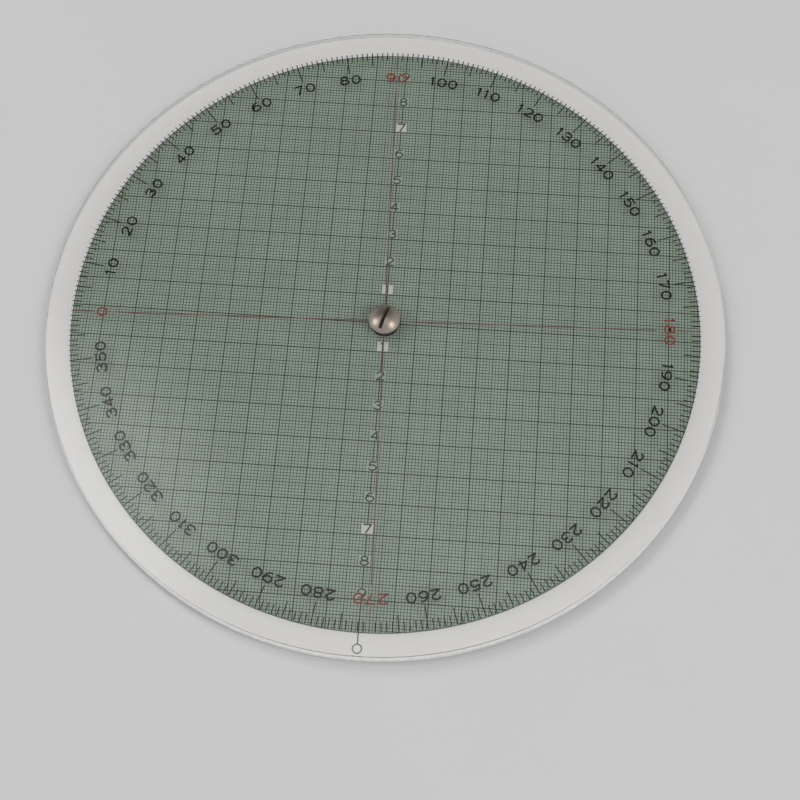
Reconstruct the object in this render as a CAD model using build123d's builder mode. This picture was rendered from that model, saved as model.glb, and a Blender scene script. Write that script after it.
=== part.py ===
"""Rotary wind plotting disc.

A clear bearing dial turns over a gridded white base disc on one screw pivot.
Units are millimetres. Z is the pivot axis and points up, away from the grid.
The origin is on that axis, in the plane that the object rests on, which is the
back face of the barrel nut. Y runs along the grid's numbered centre line.
"""

from build123d import *
import os

# Printed grid sheet, and the base disc that carries it inside a plain ring
sheet_diameter = 200.0
sheet_thickness = 0.15
ring_width = 8.0
base_thickness = 2.0
base_edge_break = 0.3

# Clear bearing dial, its rim just inside the base's
dial_setback = 0.5
dial_thickness = 1.1
dial_edge_break = 0.15

# Slotted screw with a domed head
head_diameter = 10.0
head_rim_height = 0.7
head_dome_rise = 2.3
head_edge_radius = 0.25
slot_width = 1.2
slot_depth = 1.4
slot_angle = 73.0
thread_diameter = 4.0
thread_lead_in = 0.4

# Barrel nut, pushed through from the back
barrel_wall = 1.0
flange_width = 3.0
flange_thickness = 1.2
flange_edge_break = 0.3
thread_floor = 1.0

# Washers on the barrel
spacer_width = 1.5
spacer_thickness = 1.85
washer_setback = 0.3
washer_thickness = 0.3
washer_edge_break = 0.05

# Clearances
thread_clearance = 0.04
tip_clearance = 1.3
fixed_clearance = 0.02
turning_clearance = 0.05
axial_play = 0.05

# Diameters that follow from the sizes above
base_diameter = sheet_diameter + 2 * ring_width
dial_diameter = base_diameter - 2 * dial_setback
thread_bore_diameter = thread_diameter + 2 * thread_clearance
barrel_diameter = thread_diameter + 2 * barrel_wall
flange_diameter = barrel_diameter + 2 * flange_width
spacer_diameter = barrel_diameter + 2 * spacer_width
washer_diameter = head_diameter - 2 * washer_setback
fixed_bore_diameter = barrel_diameter + 2 * fixed_clearance
turning_bore_diameter = barrel_diameter + 2 * turning_clearance

# Levels of the stack, from the rest face upwards
base_bottom = flange_thickness
sheet_bottom = base_bottom + base_thickness
spacer_bottom = sheet_bottom + sheet_thickness
dial_bottom = spacer_bottom + spacer_thickness + axial_play
washer_bottom = dial_bottom + dial_thickness + axial_play
head_bottom = washer_bottom + washer_thickness
dome_bottom = head_bottom + head_rim_height
head_top = dome_bottom + head_dome_rise
thread_tip = thread_floor + tip_clearance


def outer_edges(builder):
    """The two widest circular edges of a round piece."""
    return builder.edges().filter_by(GeomType.CIRCLE).sort_by(SortBy.RADIUS)[-2:]


def write(builder, label):
    """Label a finished piece and write it as its own STEP file."""
    builder.part.label = label
    export_step(builder.part, f"parts/{label}.step")


os.makedirs("parts", exist_ok=True)

# Base disc: white board that carries the grid and the index mark
with BuildPart() as base_disc:
    with BuildSketch(Plane.XY.offset(base_bottom)):
        Circle(base_diameter / 2)
        Circle(fixed_bore_diameter / 2, mode=Mode.SUBTRACT)
    extrude(amount=base_thickness)
    chamfer(outer_edges(base_disc), base_edge_break)
write(base_disc, "base_disc")

# Grid sheet: thin green printed sheet bonded to the top of the base disc
with BuildPart() as grid_sheet:
    with BuildSketch(Plane.XY.offset(sheet_bottom)):
        Circle(sheet_diameter / 2)
        Circle(fixed_bore_diameter / 2, mode=Mode.SUBTRACT)
    extrude(amount=sheet_thickness)
write(grid_sheet, "grid_sheet")

# Spacer washer: dark ring that holds the dial clear of the grid
with BuildPart() as spacer_washer:
    with BuildSketch(Plane.XY.offset(spacer_bottom)):
        Circle(spacer_diameter / 2)
        Circle(fixed_bore_diameter / 2, mode=Mode.SUBTRACT)
    extrude(amount=spacer_thickness)
    chamfer(outer_edges(spacer_washer), washer_edge_break)
write(spacer_washer, "spacer_washer")

# Bearing dial: clear disc that turns on the barrel
with BuildPart() as bearing_dial:
    with BuildSketch(Plane.XY.offset(dial_bottom)):
        Circle(dial_diameter / 2)
        Circle(turning_bore_diameter / 2, mode=Mode.SUBTRACT)
    extrude(amount=dial_thickness)
    chamfer(outer_edges(bearing_dial), dial_edge_break)
write(bearing_dial, "bearing_dial")

# Friction washer: thin fibre ring between the dial and the screw head
with BuildPart() as friction_washer:
    with BuildSketch(Plane.XY.offset(washer_bottom)):
        Circle(washer_diameter / 2)
        Circle(fixed_bore_diameter / 2, mode=Mode.SUBTRACT)
    extrude(amount=washer_thickness)
    chamfer(outer_edges(friction_washer), washer_edge_break)
write(friction_washer, "friction_washer")

# Barrel nut: flanged sleeve with a blind threaded bore, the dial's bearing
with BuildPart() as barrel_nut:
    with BuildSketch(Plane.XY):
        Circle(flange_diameter / 2)
    extrude(amount=flange_thickness)
    chamfer(barrel_nut.edges().sort_by(Axis.Z)[0], flange_edge_break)
    with BuildSketch(Plane.XY.offset(flange_thickness)):
        Circle(barrel_diameter / 2)
    extrude(amount=head_bottom - flange_thickness)
    with BuildSketch(Plane.XY.offset(thread_floor)):
        Circle(thread_bore_diameter / 2)
    extrude(amount=head_bottom - thread_floor, mode=Mode.SUBTRACT)
write(barrel_nut, "barrel_nut")

# Pivot screw: domed slotted head that seats on the end of the barrel
with BuildPart() as pivot_screw:
    with BuildSketch(Plane.XZ) as screw_profile:
        with BuildLine():
            TangentArc((0, head_top), (head_diameter / 2, dome_bottom), tangent=(1, 0))
            Polyline(
                (head_diameter / 2, dome_bottom),
                (head_diameter / 2, head_bottom),
                (thread_diameter / 2, head_bottom),
                (thread_diameter / 2, thread_tip + thread_lead_in),
                (thread_diameter / 2 - thread_lead_in, thread_tip),
                (0, thread_tip),
                (0, head_top),
            )
        make_face()
        rim_corners = screw_profile.vertices().group_by(Axis.X)[-1].sort_by(Axis.Y)
        fillet(rim_corners[-1], head_edge_radius)
    revolve(axis=Axis.Z)
    with BuildSketch(Plane.XY.offset(head_top)):
        Rectangle(2 * head_diameter, slot_width, rotation=slot_angle)
    extrude(amount=-slot_depth, mode=Mode.SUBTRACT)
write(pivot_screw, "pivot_screw")
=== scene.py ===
"""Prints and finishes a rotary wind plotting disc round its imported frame.

The base board carries a green millimetre grid, its centre line numbered both ways,
and an index mark. A clear dial turns over it with degree ticks, bearing numerals
and a red wind cross on its underside. All sizes are in metres.
"""
import math

import bmesh
import bpy
from bpy.props import FloatProperty, FloatVectorProperty, PointerProperty
from mathutils import Matrix, Vector


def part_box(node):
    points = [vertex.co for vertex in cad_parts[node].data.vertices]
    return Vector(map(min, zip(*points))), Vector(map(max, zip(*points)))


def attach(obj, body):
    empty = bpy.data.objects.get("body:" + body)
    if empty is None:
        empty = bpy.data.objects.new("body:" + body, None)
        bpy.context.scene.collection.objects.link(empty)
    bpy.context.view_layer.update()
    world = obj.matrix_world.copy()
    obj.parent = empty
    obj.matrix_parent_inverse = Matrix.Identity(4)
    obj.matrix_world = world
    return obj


bl_info = {
    "name": "Wind Plotting Disc",
    "version": (1, 0, 0),
    "blender": (4, 5, 0),
    "location": "3D View > Sidebar > Wind Disc",
    "description": "Prints and finishes a rotary wind plotting disc",
    "category": "Object",
}

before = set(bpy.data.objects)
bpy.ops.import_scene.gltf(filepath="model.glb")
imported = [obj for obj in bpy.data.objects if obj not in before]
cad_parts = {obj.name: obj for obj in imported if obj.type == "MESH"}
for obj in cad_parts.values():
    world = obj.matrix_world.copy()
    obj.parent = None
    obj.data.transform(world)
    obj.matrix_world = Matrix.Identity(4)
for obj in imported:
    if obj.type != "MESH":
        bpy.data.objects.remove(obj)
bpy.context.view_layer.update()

MM = 0.001

# Degrees on the dial
FULL_TURN = 360
QUARTER_TURN = 90

# Grid lines and degrees are both numbered every ten, and marked halfway between
NUMBERED_STEP = 10
HALF_STEP = 5

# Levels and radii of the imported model
SHEET_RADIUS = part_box("grid_sheet")[1].x
SHEET_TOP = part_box("grid_sheet")[1].z
BOARD_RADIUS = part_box("base_disc")[1].x
BOARD_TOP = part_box("base_disc")[1].z
DIAL_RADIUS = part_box("bearing_dial")[1].x
DIAL_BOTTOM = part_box("bearing_dial")[0].z
HEAD_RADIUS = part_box("pivot_screw")[1].x

# Screw slot: its angle in degrees and its width as cut, and how far along it dirt and painted shade
# lie
SLOT_ANGLE = 73.0
SLOT_WIDTH = 1.2 * MM
SLOT_REACH = 3.95 * MM

# Ink under the dial is wetted by the clear sheet, so it has little gloss of its own
DIAL_INK_GLOSS = 0.1

# Tens whose numeral stands on bare white; the rest stand on the plain tint
BARE_TENS = (1, 7)

# Fineness of round shapes: steps in a circle, degrees to a step of a digit's curve,
# and the angles in degrees at which a stroke's round end is shaped
BORDER_STEPS = 360
INDEX_RING_STEPS = 48
DIGIT_ARC_STEP = 12
PEN_CAP_ANGLES = (30, 55, 75)

# Colours of wear and dirt, and the painted shade of the screw slot, as linear red, green and blue
WORN_WHITE = (0.50, 0.49, 0.46)
BOARD_LINT = (0.30, 0.28, 0.25)
WORN_CLEAR = (0.70, 0.71, 0.70)
DIAL_LINT = (0.20, 0.18, 0.16)
TARNISH = (0.36, 0.29, 0.22)
WORN_NICKEL = (0.66, 0.60, 0.52)
# Dark brown of the screw slot: partly dirt and partly painted shade, standing in for the shade of
# the deep, narrow slot
SLOT_DIRT_AND_SHADE = (0.050, 0.030, 0.018)

# Lamps: azimuth and elevation in degrees, then distance and width in metres
LEFT_LAMP = (186, 36, 1.4, 0.6)
LEFT_FILL = (186, 36, 1.4, 0.9)
RIGHT_LAMP = (-26, 42, 1.4, 0.6)
RIGHT_FILL = (-26, 42, 1.4, 0.9)
FAR_LAMP = (130, 40, 3.0, 1.3)
LAMP_WHITE = (1.0, 0.99, 0.97)

# Soft patches of the room: azimuth, elevation and spread in degrees
DARK_SIDE = (95, 45, 60)
OVERHEAD = (95, 86, 22)
WINDOW = (134, 68, 8)
ROOM_WHITE = (0.97, 0.98, 1.0)

# Squares along each side of the table top's mesh
TABLE_CELLS = 16


# ---------------------------------------------------------------- settings


def length(name, description, default, least=0.0):
    """A length setting in metres."""
    return FloatProperty(
        name=name, description=description, default=default, min=least, unit="LENGTH", precision=5
    )


def angle(name, description, degrees):
    """An angle setting, given in degrees."""
    return FloatProperty(
        name=name, description=description, default=math.radians(degrees), subtype="ANGLE"
    )


def strength(name, description, default):
    """A light's strength."""
    return FloatProperty(name=name, description=description, default=default, min=0.0)


def colour(name, description, default):
    """A colour setting, as linear red, green and blue."""
    return FloatVectorProperty(
        name=name, description=description, default=default, min=0.0, max=1.0, subtype="COLOR"
    )


class GridPrintSettings(bpy.types.PropertyGroup):
    """Sizes of what is printed on the base board."""

    pitch: length("Grid pitch", "Distance between neighbouring grid lines", 1.0 * MM)
    fine_width: length("Fine line", "Width of each 1 mm line", 0.18 * MM)
    five_width: length("Five line", "Width of each 5 mm line", 0.23 * MM)
    ten_width: length("Ten line", "Width of each 10 mm line", 0.34 * MM)
    border_width: length("Border", "Width of the circle round the grid", 0.22 * MM)
    window_width: length("Window width", "Width of the gap in the lines at a numeral", 3.6 * MM)
    window_length: length("Window length", "Length of that gap along Y", 3.2 * MM)
    window_rise: length("Window rise", "Window's centre above its 10 mm line", 1.95 * MM)
    numeral_width: length("Numeral width", "Width of a numeral's centre line", 2.35 * MM)
    numeral_height: length("Numeral height", "Height of a numeral's centre line", 2.65 * MM)
    numeral_stroke: length("Numeral stroke", "Width of a numeral's stroke", 0.45 * MM)
    index_start: length("Index start", "Where the index line starts, from the pivot", 96.0 * MM)
    index_end: length("Index end", "Where the index line meets its ring", 103.15 * MM)
    index_ring: length("Index ring", "Outer diameter of the index ring", 3.1 * MM)
    index_width: length("Index width", "Width of the index line and its ring", 0.38 * MM)
    ink_height: length("Ink height", "Thickness of the printed ink", 0.02 * MM)
    window_height: length("Window height", "Thickness of the bare window's white", 0.008 * MM)


class DialPrintSettings(bpy.types.PropertyGroup):
    """Sizes of what is printed on the dial's underside."""

    turn: angle("Turn", "How far the dial's zero is turned from the grid's axis", 1.85)
    tick_outer: length("Tick outer", "Radius where every tick starts", 100.0 * MM)
    one_inner: length("One inner", "Inner radius of a 1 degree tick", 97.0 * MM)
    five_inner: length("Five inner", "Inner radius of a 5 degree tick", 94.9 * MM)
    ten_inner: length("Ten inner", "Inner radius of a 10 degree tick", 92.8 * MM)
    one_width: length("One width", "Width of a 1 degree tick", 0.30 * MM)
    ten_width: length("Ten width", "Width of a 5 or 10 degree tick", 0.34 * MM)
    numeral_radius: length("Numeral radius", "Radius of the numerals' centres", 90.1 * MM)
    numeral_width: length("Numeral width", "Width of a numeral's centre line", 2.6 * MM)
    numeral_height: length("Numeral height", "Height of a numeral's centre line", 2.95 * MM)
    numeral_stroke: length("Numeral stroke", "Width of a numeral's stroke", 0.56 * MM)
    wide_pitch: length("Wide pitch", "Step between digits of a two-digit bearing", 3.95 * MM)
    tight_pitch: length("Tight pitch", "Step between digits of a three-digit bearing", 3.7 * MM)
    one_saving: length("One saving", "How much closer a 1 stands to its neighbour", 0.6 * MM)
    cross_width: length("Cross width", "Width of the red hairlines", 0.34 * MM)
    cross_end: length("Cross end", "Radius where each inner hairline stops", 86.0 * MM)
    ink_height: length("Ink height", "Thickness of the printed ink", 0.015 * MM)
    ink_gap: length("Ink gap", "Air left between the dial and its ink", 0.004 * MM)


class FinishSettings(bpy.types.PropertyGroup):
    """Colours of the plastics, inks and metal."""

    board_white: colour("Board white", "Milky white plastic of the base", (0.87, 0.857, 0.845))
    window_white: colour("Window white", "Bare white behind a numeral", (0.66, 0.68, 0.61))
    print_green: colour("Print green", "Tint printed between the grid lines", (0.386, 0.469, 0.381))
    line_green: colour("Line green", "Dark ink of the 5 and 10 mm lines", (0.017, 0.040, 0.023))
    fine_green: colour("Fine green", "Paler ink of the 1 mm lines", (0.038, 0.078, 0.047))
    numeral_ink: colour("Numeral ink", "Ink of the grid's numerals", (0.040, 0.060, 0.044))
    dial_ink: colour("Dial ink", "Black ink of ticks and bearings", (0.009, 0.013, 0.009))
    red_ink: colour("Red ink", "Red ink of the four quarter bearings", (0.29, 0.060, 0.045))
    cross_ink: colour("Cross ink", "Brownish red ink of the hairlines", (0.20, 0.105, 0.085))
    index_ink: colour("Index ink", "Grey ink of the index mark", (0.21, 0.21, 0.21))
    clear_tint: colour("Clear tint", "Tint of the clear dial", (0.985, 0.985, 0.98))
    nickel: colour("Nickel", "Plated metal of the screw and nut", (0.54, 0.475, 0.40))
    # The washers' near-black is partly painted shade: it gives the dark crescent under the screw
    # head
    fibre: colour("Fibre", "Black fibre of the washers", (0.018, 0.016, 0.014))


class StageSettings(bpy.types.PropertyGroup):
    """Where the camera and the lights stand."""

    view_azimuth: angle("View azimuth", "Camera's turn about Z, 0 looks along +Y", 5.937)
    view_elevation: angle("View elevation", "Camera's height angle", 68.73)
    view_roll: angle("View roll", "Camera's turn about its own axis", -1.80)
    view_distance: length("View distance", "From the aim point to the camera", 475.0 * MM)
    view_lens: FloatProperty(
        name="Lens", description="Focal length", default=68.51, min=1.0, unit="CAMERA"
    )
    aim_x: length("Aim X", "Aim point's X on the grid", 6.80 * MM, -1.0)
    aim_y: length("Aim Y", "Aim point's Y on the grid", -25.75 * MM, -1.0)
    aim_rise: length("Aim rise", "How far the clear dial lifts the grid to the eye", 0.4 * MM)
    floor_side: length("Floor", "Side of the table top", 16.0)
    floor_pale: colour("Table", "Pale table top", (0.745, 0.745, 0.742))
    room_strength: strength("Room light", "The room's even light", 0.475)
    dark_strength: strength("Dark side", "How much darker the far side of the room is", 0.36)
    overhead_strength: strength("Overhead", "How much brighter the ceiling overhead is", 0.42)
    window_strength: strength("Window", "How much brighter the window's soft patch is", 1.15)
    left_power: strength("Left lamp", "Power of the lamp on the left, in watts", 2.2)
    left_fill: strength("Left fill", "Power of the unmirrored light on the left, in watts", 1.0)
    right_power: strength("Right lamp", "Power of the lamp on the right, in watts", 2.4)
    right_fill: strength("Right fill", "Power of the unmirrored light on the right, in watts", 3.2)
    far_power: strength("Far lamp", "Power of the large lamp behind on the left, in watts", 20.0)


# ---------------------------------------------------------------- shared mesh code


def ribbon(bm, sections, low, high, closed=False):
    """A flat strip of ink through sections of (centre, side direction, half width)."""
    rings = []
    for centre, side, half in sections:
        left, right = centre + side * half, centre - side * half
        corners = ((left, low), (right, low), (right, high), (left, high))
        rings.append([bm.verts.new((p.x, p.y, z)) for p, z in corners])
    following = rings[1:] + rings[:1] if closed else rings[1:]
    for ring, after in zip(rings, following):
        for k in range(4):
            n = (k + 1) % 4
            bm.faces.new((ring[k], ring[n], after[n], after[k]))
    if not closed:
        bm.faces.new(rings[0])
        bm.faces.new(rings[-1])


def straight(bm, start, end, width, low, high):
    """A square-ended printed line."""
    start, end = Vector(start), Vector(end)
    along = (end - start).normalized()
    side = Vector((-along.y, along.x))
    ribbon(bm, [(start, side, width / 2), (end, side, width / 2)], low, high)


def circle(bm, centre, radius, width, low, high, steps):
    """A printed ring."""
    sections = []
    for k in range(steps):
        turn = 2 * math.pi * k / steps
        out = Vector((math.cos(turn), math.sin(turn)))
        sections.append((Vector(centre) + out * radius, out, width / 2))
    ribbon(bm, sections, low, high, closed=True)


def pen_stroke(bm, points, width, low, high):
    """A pen stroke with round ends along a line of points, or a closed loop."""
    half = width / 2
    closed = (points[0] - points[-1]).length < half / 10
    if closed:
        points = points[:-1]
    sections = []
    last = len(points) - 1
    for k, point in enumerate(points):
        before = points[k - 1] if k or closed else point
        after = points[(k + 1) % len(points)] if k < last or closed else point
        along = (after - before).normalized()
        sections.append((point, Vector((-along.y, along.x)), half))
    if not closed:
        cap = [math.radians(a) for a in PEN_CAP_ANGLES]
        first_way = (points[1] - points[0]).normalized()
        last_way = (points[-1] - points[-2]).normalized()
        start, side, _ = sections[0]
        opening = [(start - first_way * half * math.sin(a), side, half * math.cos(a)) for a in cap]
        end, side, _ = sections[-1]
        closing = [(end + last_way * half * math.sin(a), side, half * math.cos(a)) for a in cap]
        sections = opening[::-1] + sections + closing
    ribbon(bm, sections, low, high, closed)


def finish_piece(bm, name, material, body):
    """Turn a bmesh into a piece that rides on a body and has its finish."""
    bmesh.ops.recalc_face_normals(bm, faces=bm.faces)
    mesh = bpy.data.meshes.new(name)
    bm.to_mesh(mesh)
    bm.free()
    mesh.materials.append(material)
    piece = bpy.data.objects.new(name, mesh)
    bpy.context.scene.collection.objects.link(piece)
    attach(piece, body)


# ---------------------------------------------------------------- numerals


def arc(cx, cy, rx, ry, start, end):
    """Points along an ellipse between two angles in degrees."""
    steps = max(6, int(abs(end - start) / DIGIT_ARC_STEP))
    turns = [math.radians(start + (end - start) * k / steps) for k in range(steps + 1)]
    return [(cx + rx * math.cos(t), cy + ry * math.sin(t)) for t in turns]


# Pen strokes of each digit, in a box one wide and one high
DIGITS = {
    "0": [arc(0.5, 0.5, 0.5, 0.5, 90, 450)],
    "1": [[(0.5, 0.0), (0.5, 1.0)], [(0.5, 1.0), (0.26, 0.84)]],
    "2": [
        arc(0.5, 0.71, 0.45, 0.29, 165, -38) + [(0.03, 0.0)],
        [(0.03, 0.0), (1.0, 0.0)],
    ],
    "3": [
        arc(0.47, 0.765, 0.42, 0.235, 158, -90),
        arc(0.47, 0.265, 0.51, 0.265, 90, -160),
    ],
    "4": [[(0.7, 0.0), (0.7, 1.0)], [(0.7, 1.0), (0.0, 0.26)], [(0.0, 0.26), (1.0, 0.26)]],
    "5": [
        [(0.92, 1.0), (0.16, 1.0)],
        [(0.16, 1.0), (0.08, 0.52)],
        [(0.08, 0.52)] + arc(0.48, 0.32, 0.5, 0.32, 128, -152),
    ],
    "6": [arc(0.5, 0.32, 0.5, 0.32, 90, 450), arc(0.72, 0.34, 0.72, 0.66, 180, 84)],
    "7": [[(0.02, 1.0), (0.98, 1.0)], [(0.98, 1.0), (0.36, 0.0)]],
    "8": [arc(0.5, 0.765, 0.4, 0.235, 90, 450), arc(0.5, 0.265, 0.5, 0.265, 90, 450)],
    "9": [arc(0.5, 0.68, 0.5, 0.32, 90, 450), arc(0.28, 0.66, 0.72, 0.66, 0, -96)],
}


def print_digit(bm, digit, place, width, height, stroke, low, high):
    """Print one digit, centred on the origin of place, which turns and moves it."""
    for strokes in DIGITS[digit]:
        points = []
        for across, up in strokes:
            flat = place @ Vector(((across - 0.5) * width, (up - 0.5) * height, 0.0))
            points.append(flat.to_2d())
        pen_stroke(bm, points, stroke, low, high)


# ---------------------------------------------------------------- shared shader code


def add(tree, kind, inputs=None, **attributes):
    """Add a shader node, set its attributes, and set or link its inputs."""
    node = tree.nodes.new("ShaderNode" + kind)
    for name, value in attributes.items():
        setattr(node, name, value)
    for name, value in (inputs or {}).items():
        if isinstance(value, bpy.types.NodeSocket):
            tree.links.new(value, node.inputs[name])
        else:
            node.inputs[name].default_value = value
    return node


def maths(tree, operation, first, second=0.0, clamp=False):
    """The output of a Math node."""
    node = add(tree, "Math", {0: first, 1: second}, operation=operation, use_clamp=clamp)
    return node.outputs[0]


def between(tree, value, low, high, to_low=0.0, to_high=1.0):
    """A value's range stretched smoothly from one pair of limits to another."""
    inputs = {"Value": value, "From Min": low, "From Max": high}
    inputs |= {"To Min": to_low, "To Max": to_high}
    return add(tree, "MapRange", inputs, interpolation_type="SMOOTHSTEP").outputs["Result"]


def blended(tree, factor, first, second):
    """A colour between two colours."""
    node = add(tree, "Mix", {0: factor, 6: first, 7: second}, data_type="RGBA")
    return node.outputs[2]


def opaque(colour_value):
    """A colour as four numbers, the last one for full cover."""
    return (*colour_value, 1.0)


def toned(tree, colour_value, tone):
    """A colour made lighter and darker by a tone that varies round 1."""
    node = add(tree, "VectorMath", {0: tuple(colour_value), "Scale": tone}, operation="SCALE")
    return node.outputs[0]


def object_point(tree):
    """The shaded point in the piece's own coordinates."""
    return add(tree, "TexCoord").outputs["Object"]


def noise(tree, point, scale, detail):
    """Cloudy noise from 0 to 1."""
    inputs = {"Vector": point, "Scale": scale, "Detail": detail}
    return add(tree, "TexNoise", inputs).outputs["Fac"]


def turned_about_z(tree, point, turn):
    """A point turned about the pivot's axis."""
    inputs = {"Vector": point, "Angle": turn}
    return add(tree, "VectorRotate", inputs, rotation_type="Z_AXIS").outputs[0]


def surface(tree, out, inputs):
    """Make the principled shader of a material and link it to the output."""
    shader = add(tree, "BsdfPrincipled", inputs)
    tree.links.new(shader.outputs[0], out.inputs["Surface"])


def new_group(name, inputs, outputs):
    """An empty node group with named number sockets; returns it with its two end nodes."""
    group = bpy.data.node_groups.new(name, "ShaderNodeTree")
    for socket, default in inputs.items():
        made = group.interface.new_socket(socket, in_out="INPUT", socket_type="NodeSocketFloat")
        made.default_value = default
    for socket in outputs:
        group.interface.new_socket(socket, in_out="OUTPUT", socket_type="NodeSocketFloat")
    return group, group.nodes.new("NodeGroupInput"), group.nodes.new("NodeGroupOutput")


def place_group(tree, name, **values):
    """Place a shared group in a material with its own values, building it at first use."""
    node = tree.nodes.new("ShaderNodeGroup")
    node.node_tree = bpy.data.node_groups.get(name) or GROUP_BUILDERS[name]()
    for socket, value in values.items():
        node.inputs[socket].default_value = value
    return node.outputs


def build_grain_group():
    """Fine grain: a tone that varies round 1, and a height for bump."""
    group, given, out = new_group("grain", {"Size": 0.5 * MM, "Strength": 0.1}, ["Tone", "Height"])
    scale = maths(group, "DIVIDE", 1.0, given.outputs["Size"])
    cloud = noise(group, object_point(group), scale, 4.0)
    swing = maths(group, "MULTIPLY", maths(group, "SUBTRACT", cloud, 0.5), 2.0)
    tone = maths(group, "ADD", 1.0, maths(group, "MULTIPLY", swing, given.outputs["Strength"]))
    group.links.new(tone, out.inputs["Tone"])
    group.links.new(cloud, out.inputs["Height"])
    return group


def build_dust_group():
    """Sparse specks of lint: 1 on a speck and 0 elsewhere."""
    sizes = {"Spacing": 6 * MM, "Speck": 0.05, "Cover": 0.3}
    group, given, out = new_group("dust", sizes, ["Mask"])
    here = object_point(group)
    scale = maths(group, "DIVIDE", 1.0, given.outputs["Spacing"])
    # Specks are bent out of round by a fine noise
    warp = add(group, "TexNoise", {"Vector": here, "Scale": 2400.0}).outputs["Color"]
    bent = add(group, "VectorMath", {0: warp, "Scale": 0.35 * MM}, operation="SCALE").outputs[0]
    moved = add(group, "VectorMath", {0: here, 1: bent}, operation="ADD").outputs[0]
    cells = add(group, "TexVoronoi", {"Vector": moved, "Scale": scale}, voronoi_dimensions="2D")
    kept = add(group, "SeparateColor", {"Color": cells.outputs["Color"]})
    shown = maths(group, "LESS_THAN", kept.outputs["Red"], given.outputs["Cover"])
    size = maths(group, "MULTIPLY", given.outputs["Speck"], kept.outputs["Green"])
    near = maths(group, "LESS_THAN", cells.outputs["Distance"], size)
    group.links.new(maths(group, "MULTIPLY", shown, near), out.inputs["Mask"])
    return group


def build_scratch_group():
    """Hairline scratches in two directions: 1 in a scratch and 0 elsewhere."""
    group, given, out = new_group("scratches", {"Spacing": 4 * MM, "Amount": 0.3}, ["Mask"])
    here = object_point(group)
    scale = maths(group, "DIVIDE", 1.0, given.outputs["Spacing"])
    open_to = maths(group, "SUBTRACT", 1.0, given.outputs["Amount"])
    masks = []
    for turn in (0.5, 2.2):
        turned = turned_about_z(group, here, turn)
        drawn_out = add(group, "VectorMath", {0: turned, 1: (1.0, 0.02, 1.0)}, operation="MULTIPLY")
        streaks = {"Vector": drawn_out.outputs[0], "Scale": scale, "Detail": 3.0, "Distortion": 0.3}
        streak = add(group, "TexNoise", streaks).outputs["Fac"]
        ridge = maths(group, "ABSOLUTE", maths(group, "SUBTRACT", streak, 0.5))
        thin = between(group, ridge, 0.004, 0.0)
        patch = noise(group, turned, 60.0, 1.0)
        masks.append(maths(group, "MULTIPLY", thin, between(group, patch, open_to, 1.0)))
    group.links.new(maths(group, "MAXIMUM", *masks, clamp=True), out.inputs["Mask"])
    return group


def build_rim_group():
    """Wear in a band along a round rim: fades from 1 at the rim to 0 inside it."""
    group, given, out = new_group("rim_wear", {"Radius": 0.1, "Width": MM}, ["Mask"])
    here = object_point(group)
    flat = add(group, "VectorMath", {0: here, 1: (1.0, 1.0, 0.0)}, operation="MULTIPLY").outputs[0]
    out_from = add(group, "VectorMath", {0: flat}, operation="LENGTH").outputs["Value"]
    inner = maths(group, "SUBTRACT", given.outputs["Radius"], given.outputs["Width"])
    band = between(group, out_from, inner, given.outputs["Radius"])
    rough = between(group, noise(group, here, 700.0, 3.0), 0.35, 0.65)
    group.links.new(maths(group, "MULTIPLY", band, rough), out.inputs["Mask"])
    return group


def build_grime_group():
    """Dirt and painted shade in a screw slot: 1 in the slot, fading out unevenly beside it."""
    sizes = {"Turn": 0.0, "Half": MM, "Spread": MM, "Reach": MM}
    group, given, out = new_group("slot_dirt_and_shade", sizes, ["Mask"])
    here = object_point(group)
    back = maths(group, "MULTIPLY", given.outputs["Turn"], -1.0)
    parts = add(group, "SeparateXYZ", {0: turned_about_z(group, here, back)}).outputs
    ragged = noise(group, here, 1800.0, 3.0)
    spread = maths(group, "MULTIPLY", given.outputs["Spread"], ragged)
    end = maths(group, "ADD", given.outputs["Half"], spread)
    beside = between(group, maths(group, "ABSOLUTE", parts["Y"]), end, given.outputs["Half"])
    along = maths(group, "ABSOLUTE", parts["X"])
    inside = maths(group, "LESS_THAN", along, given.outputs["Reach"])
    group.links.new(maths(group, "MULTIPLY", beside, inside), out.inputs["Mask"])
    return group


GROUP_BUILDERS = {
    "grain": build_grain_group,
    "dust": build_dust_group,
    "scratches": build_scratch_group,
    "rim_wear": build_rim_group,
    "slot_dirt_and_shade": build_grime_group,
}


def new_material(name):
    """A material with an empty tree and its output node."""
    material = bpy.data.materials.new(name)
    material.use_nodes = True
    tree = material.node_tree
    tree.nodes.clear()
    return material, tree, add(tree, "OutputMaterial")


def bump(tree, height, depth):
    """A normal from a height, with depth in metres."""
    inputs = {"Height": height, "Strength": 1.0, "Distance": depth}
    return add(tree, "Bump", inputs).outputs["Normal"]


# ---------------------------------------------------------------- materials


def white_board_material(finish):
    """Milky white plastic: faint mottle, a moulded skin and a worn, dusty rim."""
    material, tree, out = new_material("white_board")
    mottle = place_group(tree, "grain", Size=9 * MM, Strength=0.02)
    skin = place_group(tree, "grain", Size=0.35 * MM, Strength=0.1)
    rim = place_group(tree, "rim_wear", Radius=BOARD_RADIUS, Width=0.8 * MM)["Mask"]
    dust = place_group(tree, "dust", Spacing=7 * MM, Speck=0.025, Cover=0.08)["Mask"]
    plain = toned(tree, finish.board_white, mottle["Tone"])
    worn = blended(tree, maths(tree, "MULTIPLY", rim, 0.35), plain, opaque(WORN_WHITE))
    dusty = blended(tree, maths(tree, "MULTIPLY", dust, 0.6), worn, opaque(BOARD_LINT))
    surface(
        tree,
        out,
        {
            "Base Color": dusty,
            "Roughness": between(tree, skin["Height"], 0.3, 0.7, 0.24, 0.34),
            "IOR": 1.49,
            "Subsurface Weight": 0.12,
            "Subsurface Radius": (1.0, 0.95, 0.9),
            "Subsurface Scale": 0.8 * MM,
            "Normal": bump(tree, skin["Height"], 0.004 * MM),
        },
    )
    return material


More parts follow.
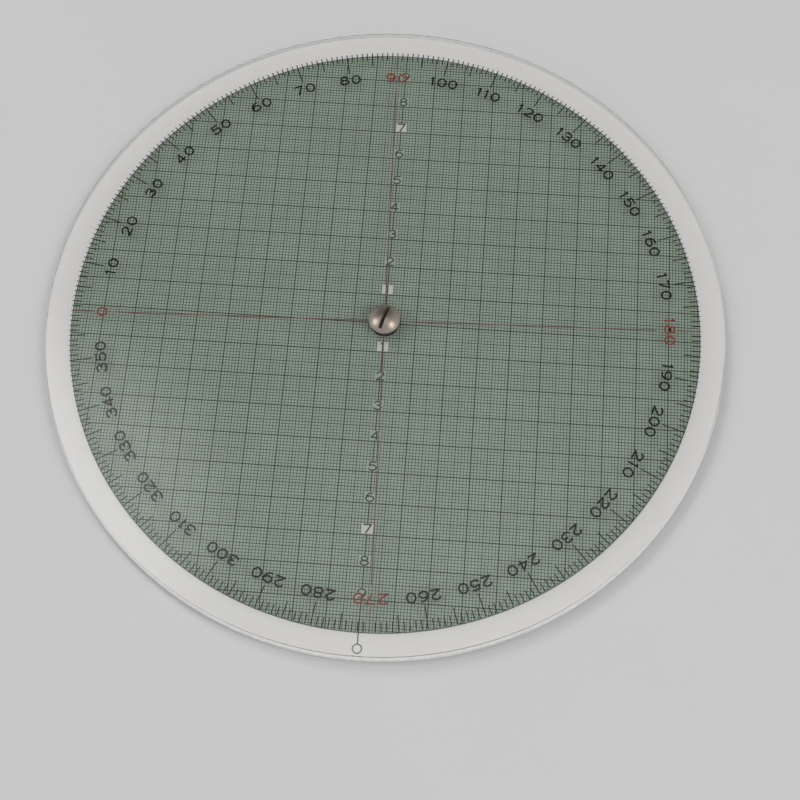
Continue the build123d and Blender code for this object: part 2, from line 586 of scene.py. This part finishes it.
def ink_material(name, ink, speckle=0.35, gloss=0.5):
    """Screen-printed ink: matt, with a slightly uneven film."""
    material, tree, out = new_material(name)
    grain = place_group(tree, "grain", Size=0.22 * MM, Strength=speckle)
    drift = place_group(tree, "grain", Size=14 * MM, Strength=0.12)
    tone = maths(tree, "MULTIPLY", grain["Tone"], drift["Tone"])
    surface(
        tree,
        out,
        {
            "Base Color": toned(tree, ink, tone),
            "Roughness": between(tree, grain["Height"], 0.3, 0.7, 0.42, 0.58),
            "IOR": 1.45,
            "Specular IOR Level": gloss,
            "Normal": bump(tree, grain["Height"], 0.002 * MM),
        },
    )
    return material


def clear_acrylic_material(finish):
    """Clear polished acrylic that lamps shine through, with lint and hair scratches."""
    material, tree, out = new_material("clear_acrylic")
    scratches = place_group(tree, "scratches", Spacing=3 * MM, Amount=0.35)["Mask"]
    dust = place_group(tree, "dust", Spacing=18 * MM, Speck=0.014, Cover=0.06)["Mask"]
    rim = place_group(tree, "rim_wear", Radius=DIAL_RADIUS, Width=0.12 * MM)["Mask"]
    clean = opaque(finish.clear_tint)
    worn = blended(tree, maths(tree, "MULTIPLY", rim, 0.5), clean, opaque(WORN_CLEAR))
    specked = blended(tree, maths(tree, "MULTIPLY", dust, 0.7), worn, opaque(DIAL_LINT))
    glass = add(
        tree,
        "BsdfPrincipled",
        {
            "Base Color": specked,
            "Roughness": 0.03,
            "IOR": 1.49,
            "Transmission Weight": 1.0,
            "Normal": bump(tree, scratches, 0.002 * MM),
        },
    )
    path = add(tree, "LightPath")
    through = maths(tree, "MAXIMUM", path.outputs["Is Shadow Ray"], path.outputs["Is Diffuse Ray"])
    clear = add(tree, "BsdfTransparent", {"Color": (0.96, 0.96, 0.96, 1.0)})
    lit = add(tree, "MixShader", {0: through})
    tree.links.new(glass.outputs[0], lit.inputs[1])
    tree.links.new(clear.outputs[0], lit.inputs[2])
    tree.links.new(lit.outputs[0], out.inputs["Surface"])
    return material


def nickel_material(finish):
    """Satin nickel plate with fine wear, a little tarnish, and dirt with painted shade in the screw
    slot.
    """
    material, tree, out = new_material("nickel_plate")
    polish = place_group(tree, "grain", Size=0.12 * MM, Strength=0.06)
    tarnish = place_group(tree, "grain", Size=2.6 * MM, Strength=0.5)
    marks = place_group(tree, "scratches", Spacing=0.8 * MM, Amount=0.6)["Mask"]
    rim = place_group(tree, "rim_wear", Radius=HEAD_RADIUS, Width=0.5 * MM)["Mask"]
    slot = {"Turn": math.radians(SLOT_ANGLE), "Half": 0.42 * SLOT_WIDTH}
    # Painted shade and dirt: the slot's floor is painted dark, less metallic and rougher, as the
    # shade of the recess. The band has no limit in height, so it also paints a dark band across the
    # barrel nut, which shares this material.
    slot_shade = place_group(tree, "slot_dirt_and_shade", Spread=0.08 * MM, Reach=SLOT_REACH, **slot)["Mask"]
    dulled = between(tree, tarnish["Height"], 0.45, 0.75, 0.0, 0.35)
    aged = blended(tree, dulled, opaque(finish.nickel), opaque(TARNISH))
    worn = blended(tree, maths(tree, "MULTIPLY", rim, 0.3), aged, opaque(WORN_NICKEL))
    slot_shaded = blended(tree, slot_shade, worn, opaque(SLOT_DIRT_AND_SHADE))
    polished = between(tree, polish["Height"], 0.3, 0.7, 0.30, 0.40)
    rough = maths(tree, "ADD", polished, maths(tree, "MULTIPLY", marks, 0.12))
    surface(
        tree,
        out,
        {
            "Base Color": slot_shaded,
            "Metallic": maths(tree, "SUBTRACT", 1.0, slot_shade),
            "Roughness": maths(tree, "ADD", rough, maths(tree, "MULTIPLY", slot_shade, 0.3)),
            "Normal": bump(tree, marks, -0.003 * MM),
        },
    )
    return material


def fibre_material(finish):
    """Near-black pressed fibre with a felted surface; its black is partly the washers' own colour
    and partly painted shade for the dark crescent under the screw head.
    """
    material, tree, out = new_material("dark_fibre")
    felt = place_group(tree, "grain", Size=0.18 * MM, Strength=0.5)
    surface(
        tree,
        out,
        {
            "Base Color": toned(tree, finish.fibre, felt["Tone"]),
            "Roughness": between(tree, felt["Height"], 0.3, 0.7, 0.7, 0.9),
            "Normal": bump(tree, felt["Height"], 0.03 * MM),
        },
    )
    return material


def table_material(stage):
    """Pale table top with a faint cloudy tone."""
    material, tree, out = new_material("table_top")
    cloud = place_group(tree, "grain", Size=60 * MM, Strength=0.02)
    fine = place_group(tree, "grain", Size=0.6 * MM, Strength=0.03)
    tone = maths(tree, "MULTIPLY", cloud["Tone"], fine["Tone"])
    surface(
        tree,
        out,
        {
            "Base Color": toned(tree, stage.floor_pale, tone),
            "Roughness": between(tree, fine["Height"], 0.3, 0.7, 0.5, 0.6),
            "Normal": bump(tree, fine["Height"], 0.01 * MM),
        },
    )
    return material


# ---------------------------------------------------------------- what is printed where


def window_middles(grid):
    """The numbered tens, up and then down from the pivot, with the Y of each window's middle."""
    tens = [way * ten for ten in range(1, 10) for way in (1, -1)]
    return [(ten, NUMBERED_STEP * ten * grid.pitch + grid.window_rise) for ten in tens]


def window_spans(grid):
    """Lowest and highest Y of each window in the numbered centre line."""
    half = grid.window_length / 2
    return [(middle - half, middle + half) for _, middle in window_middles(grid)]


def clear_spans(reach, gaps):
    """The stretches from -reach to reach that the gaps leave."""
    spans, start = [], -reach
    for low, high in sorted(gaps):
        spans.append((start, low))
        start = high
    return [*spans, (start, reach)]


def line_weight(k):
    """Which of the three line weights the k-th grid line has."""
    return "ten" if k % NUMBERED_STEP == 0 else "five" if k % HALF_STEP == 0 else "fine"


class GridLines(bpy.types.Operator):
    """Print the millimetre grid in three line weights, and the circle round it"""

    bl_idname = "wind_disc.grid_lines"
    bl_label = "Print Grid Lines"

    def execute(self, context):
        grid = context.scene.wind_grid
        finish = context.scene.wind_finish
        ink = ink_material("grid_ink", finish.line_green)
        pale = ink_material("grid_ink_fine", finish.fine_green)
        low, high = SHEET_TOP, SHEET_TOP + grid.ink_height
        widths = {"fine": grid.fine_width, "five": grid.five_width, "ten": grid.ten_width}
        meshes = {weight: bmesh.new() for weight in widths}
        windows = window_spans(grid)
        half_window = grid.window_width / 2
        count = int(SHEET_RADIUS / grid.pitch + 0.5)
        for k in range(1 - count, count):
            place, weight = k * grid.pitch, line_weight(k)
            bm, width = meshes[weight], widths[weight]
            reach = math.sqrt(SHEET_RADIUS**2 - place**2)
            upright_gaps = windows if abs(place) < half_window else []
            for start, end in clear_spans(reach, upright_gaps):
                straight(bm, (place, start), (place, end), width, low, high)
            crossed = any(bottom < place < top for bottom, top in windows)
            level_gaps = [(-half_window, half_window)] if crossed else []
            for start, end in clear_spans(reach, level_gaps):
                straight(bm, (start, place), (end, place), width, low, high)
        for weight, bm in meshes.items():
            film = pale if weight == "fine" else ink
            finish_piece(bm, f"grid_lines_{weight}", film, "base")
        border = bmesh.new()
        middle = SHEET_RADIUS - grid.border_width / 2
        circle(border, (0, 0), middle, grid.border_width, low, high, BORDER_STEPS)
        finish_piece(border, "grid_border", ink, "base")
        return {"FINISHED"}


class DistanceNumerals(bpy.types.Operator):
    """Print 1 to 9 up and down the centre line, each in a window of the grid"""

    bl_idname = "wind_disc.distance_numerals"
    bl_label = "Print Distance Numerals"

    def execute(self, context):
        grid, finish = context.scene.wind_grid, context.scene.wind_finish
        half = grid.window_length / 2
        bare, digits = bmesh.new(), bmesh.new()
        window_top = SHEET_TOP + grid.window_height
        digit_top = SHEET_TOP + grid.ink_height
        size = (grid.numeral_width, grid.numeral_height, grid.numeral_stroke)
        for ten, middle in window_middles(grid):
            if abs(ten) in BARE_TENS:
                ends = (0, middle - half), (0, middle + half)
                straight(bare, *ends, grid.window_width, SHEET_TOP, window_top)
            place = Matrix.Translation((0, middle, 0))
            print_digit(digits, str(abs(ten)), place, *size, SHEET_TOP, digit_top)
        white = ink_material("window_white", finish.window_white, 0.03)
        finish_piece(bare, "bare_windows", white, "base")
        ink = ink_material("numeral_ink", finish.numeral_ink)
        finish_piece(digits, "distance_numerals", ink, "base")
        return {"FINISHED"}


class IndexMark(bpy.types.Operator):
    """Print the index line and its ring on the white margin"""

    bl_idname = "wind_disc.index_mark"
    bl_label = "Print Index Mark"

    def execute(self, context):
        grid = context.scene.wind_grid
        width, ring = grid.index_width, grid.index_ring
        bm = bmesh.new()
        on_sheet = (SHEET_TOP, SHEET_TOP + grid.ink_height)
        on_board = (BOARD_TOP, BOARD_TOP + grid.ink_height)
        straight(bm, (0, -grid.index_start), (0, -SHEET_RADIUS), width, *on_sheet)
        straight(bm, (0, -SHEET_RADIUS), (0, -grid.index_end), width, *on_board)
        centre = (0, -grid.index_end - ring / 2)
        circle(bm, centre, (ring - width) / 2, width, *on_board, INDEX_RING_STEPS)
        ink = ink_material("index_ink", context.scene.wind_finish.index_ink)
        finish_piece(bm, "index_mark", ink, "base")
        return {"FINISHED"}


def dial_levels(dial):
    """Lowest and highest Z of the ink under the dial."""
    high = DIAL_BOTTOM - dial.ink_gap
    return high - dial.ink_height, high


def bearing_direction(dial, bearing):
    """The direction from the pivot to a bearing: zero lies to the left, and they run clockwise."""
    turn = math.pi - math.radians(bearing) + dial.turn
    return Vector((math.cos(turn), math.sin(turn)))


def dial_black(finish):
    """The black ink that the ticks and the bearings share."""
    name = "dial_black"
    made = bpy.data.materials.get(name)
    return made or ink_material(name, finish.dial_ink, gloss=DIAL_INK_GLOSS)


def tick_size(dial, bearing):
    """Inner radius and width of the tick at a bearing."""
    if bearing % NUMBERED_STEP == 0:
        return dial.ten_inner, dial.ten_width
    if bearing % HALF_STEP == 0:
        return dial.five_inner, dial.ten_width
    return dial.one_inner, dial.one_width


class DegreeTicks(bpy.types.Operator):
    """Print a tick for every degree but the four red ones"""

    bl_idname = "wind_disc.degree_ticks"
    bl_label = "Print Degree Ticks"

    def execute(self, context):
        dial = context.scene.wind_dial
        levels = dial_levels(dial)
        bm = bmesh.new()
        for bearing in range(FULL_TURN):
            if bearing % QUARTER_TURN == 0:
                continue
            out = bearing_direction(dial, bearing)
            inner, width = tick_size(dial, bearing)
            straight(bm, out * inner, out * dial.tick_outer, width, *levels)
        ink = dial_black(context.scene.wind_finish)
        finish_piece(bm, "degree_ticks", ink, "dial")
        return {"FINISHED"}


def digit_offsets(dial, text):
    """How far each digit of a bearing stands to the right of the bearing's line."""
    pitch = dial.tight_pitch if len(text) == 3 else dial.wide_pitch
    places = [0.0]
    for before, after in zip(text, text[1:]):
        narrow = (before == "1") + (after == "1")
        places.append(places[-1] + pitch - narrow * dial.one_saving)
    return [p - places[-1] / 2 for p in places]


class BearingNumerals(bpy.types.Operator):
    """Print the bearings every ten degrees, the four quarter bearings in red"""

    bl_idname = "wind_disc.bearing_numerals"
    bl_label = "Print Bearing Numerals"

    def execute(self, context):
        dial, finish = context.scene.wind_dial, context.scene.wind_finish
        levels = dial_levels(dial)
        size = (dial.numeral_width, dial.numeral_height, dial.numeral_stroke)
        black, red = bmesh.new(), bmesh.new()
        for bearing in range(0, FULL_TURN, NUMBERED_STEP):
            text = str(bearing)
            film = black if bearing % QUARTER_TURN else red
            for digit, offset in zip(text, digit_offsets(dial, text)):
                along = math.degrees(offset / dial.numeral_radius)
                out = bearing_direction(dial, bearing + along)
                upright = math.atan2(out.y, out.x) - math.pi / 2
                centre = (out * dial.numeral_radius).to_3d()
                place = Matrix.Translation(centre) @ Matrix.Rotation(upright, 4, "Z")
                print_digit(film, digit, place, *size, *levels)
        finish_piece(black, "bearing_numerals", dial_black(finish), "dial")
        bright = ink_material("dial_red", finish.red_ink, 0.2, DIAL_INK_GLOSS)
        finish_piece(red, "quarter_bearings", bright, "dial")
        return {"FINISHED"}


class WindCross(bpy.types.Operator):
    """Print the red cross of hairlines, which breaks at the quarter bearings"""

    bl_idname = "wind_disc.wind_cross"
    bl_label = "Print Wind Cross"

    def execute(self, context):
        dial = context.scene.wind_dial
        levels = dial_levels(dial)
        bm = bmesh.new()
        start = HEAD_RADIUS / 2
        for bearing in range(0, FULL_TURN, QUARTER_TURN):
            out = bearing_direction(dial, bearing)
            straight(bm, out * start, out * dial.cross_end, dial.cross_width, *levels)
            straight(bm, out * dial.ten_inner, out * dial.tick_outer, dial.cross_width, *levels)
        ink = ink_material("cross_red", context.scene.wind_finish.cross_ink, 0.2, DIAL_INK_GLOSS)
        finish_piece(bm, "wind_cross", ink, "dial")
        return {"FINISHED"}


def refinish(node, material):
    """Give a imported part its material."""
    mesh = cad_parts[node].data
    mesh.materials.clear()
    mesh.materials.append(material)


class Plastics(bpy.types.Operator):
    """Finish the board, the grid sheet and the clear dial"""

    bl_idname = "wind_disc.plastics"
    bl_label = "Finish Plastics"

    def execute(self, context):
        finish = context.scene.wind_finish
        refinish("base_disc", white_board_material(finish))
        refinish("grid_sheet", ink_material("green_print", finish.print_green, 0.08))
        refinish("bearing_dial", clear_acrylic_material(finish))
        return {"FINISHED"}


class Hardware(bpy.types.Operator):
    """Finish the pivot screw, the barrel nut and the two washers"""

    bl_idname = "wind_disc.hardware"
    bl_label = "Finish Hardware"

    def execute(self, context):
        finish = context.scene.wind_finish
        nickel = nickel_material(finish)
        # The washers are near-black, partly as painted shade under the screw head
        fibre = fibre_material(finish)
        refinish("pivot_screw", nickel)
        refinish("barrel_nut", nickel)
        refinish("spacer_washer", fibre)
        refinish("friction_washer", fibre)
        return {"FINISHED"}


# ---------------------------------------------------------------- stage


def direction(azimuth, elevation):
    """A unit direction: azimuth in degrees counterclockwise from +X, elevation above the table."""
    a, e = math.radians(azimuth), math.radians(elevation)
    return Vector((math.cos(a) * math.cos(e), math.sin(a) * math.cos(e), math.sin(e)))


def area_light(name, place, watts, mirrored=True):
    """A soft round light that faces the pivot, unseen through clear parts, mirrored or not."""
    azimuth, elevation, distance, size = place
    lamp = bpy.data.lights.new(name, "AREA")
    lamp.shape = "DISK"
    lamp.size = size
    lamp.energy = watts
    lamp.color = LAMP_WHITE
    light = bpy.data.objects.new(name, lamp)
    towards = direction(azimuth, elevation)
    light.location = towards * distance
    light.rotation_mode = "QUATERNION"
    light.rotation_quaternion = towards.to_track_quat("Z", "Y")
    light.visible_glossy = mirrored
    light.visible_transmission = False
    bpy.context.scene.collection.objects.link(light)


def room_world(stage):
    """Even room light with a dark far side, a bright ceiling and a window's soft patch."""
    world = bpy.data.worlds.new("room")
    world.use_nodes = True
    tree = world.node_tree
    room = tree.nodes["Background"]
    room.inputs["Color"].default_value = opaque(ROOM_WHITE)
    here = add(tree, "TexCoord").outputs["Generated"]
    light = stage.room_strength
    patches = (
        (*DARK_SIDE, -stage.dark_strength),
        (*OVERHEAD, stage.overhead_strength),
        (*WINDOW, stage.window_strength),
    )
    for azimuth, elevation, spread, strength_there in patches:
        middle = tuple(direction(azimuth, elevation))
        facing = add(tree, "VectorMath", {0: here, 1: middle}, operation="DOT_PRODUCT")
        edge = math.cos(math.radians(spread))
        glow = between(tree, facing.outputs["Value"], edge, 1.0, 0.0, strength_there)
        light = maths(tree, "ADD", glow, light)
    tree.links.new(light, room.inputs["Strength"])
    return world


def make_camera(stage):
    """The camera, aimed at a point on the grid and rolled about its own axis."""
    camera = bpy.data.cameras.new("camera")
    camera.lens = stage.view_lens
    camera.clip_start = 0.01
    holder = bpy.data.objects.new("camera", camera)
    azimuth = math.degrees(stage.view_azimuth - math.pi / 2)
    back = direction(azimuth, math.degrees(stage.view_elevation))
    aim = Vector((stage.aim_x, stage.aim_y, SHEET_TOP + stage.aim_rise))
    looking = back.to_track_quat("Z", "Y").to_matrix().to_4x4()
    roll = Matrix.Rotation(stage.view_roll, 4, "Z")
    holder.matrix_world = Matrix.Translation(aim + back * stage.view_distance) @ looking @ roll
    bpy.context.scene.collection.objects.link(holder)
    bpy.context.scene.camera = holder


class Stage(bpy.types.Operator):
    """Lay the table top and set the lights and the camera"""

    bl_idname = "wind_disc.stage"
    bl_label = "Set Stage"

    def execute(self, context):
        stage = context.scene.wind_stage
        bm = bmesh.new()
        cells = {"x_segments": TABLE_CELLS, "y_segments": TABLE_CELLS}
        bmesh.ops.create_grid(bm, **cells, size=stage.floor_side / 2)
        mesh = bpy.data.meshes.new("table_top")
        bm.to_mesh(mesh)
        bm.free()
        mesh.materials.append(table_material(stage))
        table = bpy.data.objects.new("table_top", mesh)
        context.scene.collection.objects.link(table)
        context.scene.world = room_world(stage)
        area_light("left_lamp", LEFT_LAMP, stage.left_power)
        area_light("left_fill", LEFT_FILL, stage.left_fill, mirrored=False)
        area_light("right_lamp", RIGHT_LAMP, stage.right_power)
        area_light("right_fill", RIGHT_FILL, stage.right_fill, mirrored=False)
        area_light("far_lamp", FAR_LAMP, stage.far_power, mirrored=False)
        context.scene.view_settings.view_transform = "Standard"
        make_camera(stage)
        return {"FINISHED"}


# ---------------------------------------------------------------- add-on


STEPS = (
    GridLines,
    DistanceNumerals,
    IndexMark,
    DegreeTicks,
    BearingNumerals,
    WindCross,
    Plastics,
    Hardware,
    Stage,
)
SETTINGS = {
    "wind_grid": GridPrintSettings,
    "wind_dial": DialPrintSettings,
    "wind_finish": FinishSettings,
    "wind_stage": StageSettings,
}


class WindDiscPanel(bpy.types.Panel):
    """Lists the steps and their settings"""

    bl_idname = "VIEW3D_PT_wind_disc"
    bl_label = "Wind Plotting Disc"
    bl_space_type = "VIEW_3D"
    bl_region_type = "UI"
    bl_category = "Wind Disc"

    def draw(self, context):
        for step in STEPS:
            self.layout.operator(step.bl_idname)
        for group, kind in SETTINGS.items():
            box = self.layout.box()
            for setting in kind.__annotations__:
                box.prop(getattr(context.scene, group), setting)


CLASSES = (*SETTINGS.values(), *STEPS, WindDiscPanel)


def register():
    for made in CLASSES:
        bpy.utils.register_class(made)
    for group, kind in SETTINGS.items():
        setattr(bpy.types.Scene, group, PointerProperty(type=kind))


def unregister():
    for group in SETTINGS:
        delattr(bpy.types.Scene, group)
    for made in reversed(CLASSES):
        bpy.utils.unregister_class(made)


def main():
    """Build every piece in order."""
    register()
    for step in STEPS:
        group, name = step.bl_idname.split(".")
        getattr(getattr(bpy.ops, group), name)()


if __name__ == "__main__":
    main()
